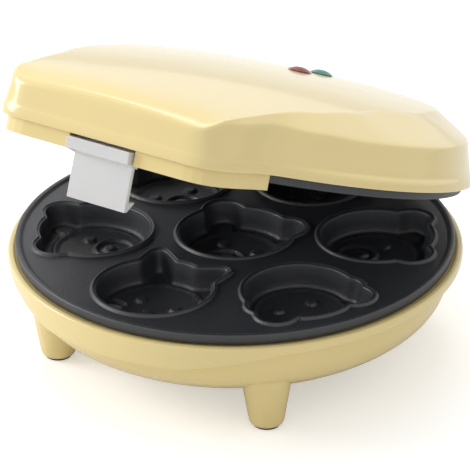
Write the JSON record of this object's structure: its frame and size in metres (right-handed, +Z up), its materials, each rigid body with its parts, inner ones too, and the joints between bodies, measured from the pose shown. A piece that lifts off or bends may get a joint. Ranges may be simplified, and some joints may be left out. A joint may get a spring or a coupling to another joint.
{
  "type": "mini cake maker",
  "caption": "Round electric mini cake maker with hinged domed lid, front latch and animal-face moulds in two non-stick plates on four short feet.",
  "frame": {"origin": "on the floor under the centre of the baking plates", "axes": "+Z up, +Y towards the hinge, -Y towards the latch, +X to the right seen from the front"},
  "size_m": [0.2156, 0.2241, 0.1598],
  "materials": {
    "shell": "glossy moulded plastic in pastel yellow",
    "lid_frame": "satin moulded plastic in pastel yellow",
    "plate": "dark non-stick coating with a fine grain",
    "latch": "translucent white plastic",
    "rubber": "black rubber",
    "steel": "zinc-plated steel",
    "sheet_steel": "pressed steel",
    "reflector": "bright aluminium sheet",
    "heater": "heat-darkened steel tube",
    "white_plastic": "white heat-resistant plastic",
    "ceramic": "ceramic and pressed metal",
    "red_lens": "tinted clear plastic",
    "green_lens": "tinted clear plastic",
    "lamp_glass": "clear glass"
  },
  "bodies": {
    "base": {"lower_shell": "shell", "foot_pads": "rubber", "lower_plate": "plate", "lower_heater": "heater", "lower_heater_clamps": "sheet_steel", "lower_clamp_screws": "steel", "lower_reflector": "reflector", "base_screws": "steel", "cord_gland": "rubber", "terminal_block": "white_plastic", "hinge_pin_left": "steel", "hinge_pin_right": "steel"},
    "lid": {"upper_cover": "shell", "lid_frame": "lid_frame", "upper_plate": "plate", "upper_heater": "heater", "upper_heater_clamps": "sheet_steel", "upper_clamp_screws": "steel", "upper_reflector": "reflector", "upper_plate_screws": "steel", "cover_screws": "steel", "thermostat": "ceramic", "thermal_fuse": "ceramic", "red_lens": "red_lens", "green_lens": "green_lens", "red_lamp": "lamp_glass", "green_lamp": "lamp_glass", "lamp_holder": "white_plastic", "latch_pin": "steel"},
    "latch": {"latch": "latch"}
  },
  "joints": [
    {"name": "lid_hinge", "type": "hinge", "parent": "base", "child": "lid", "pos_m": [0, 0.112, 0.0543], "axis": [-1, 0, 0], "range_deg": [-20.7, 80]},
    {"name": "latch_pivot", "type": "hinge", "parent": "lid", "child": "latch", "pos_m": [0, -0.09456, 0.13684], "axis": [1, 0, 0], "range_deg": [-6, 9]}
  ]
}
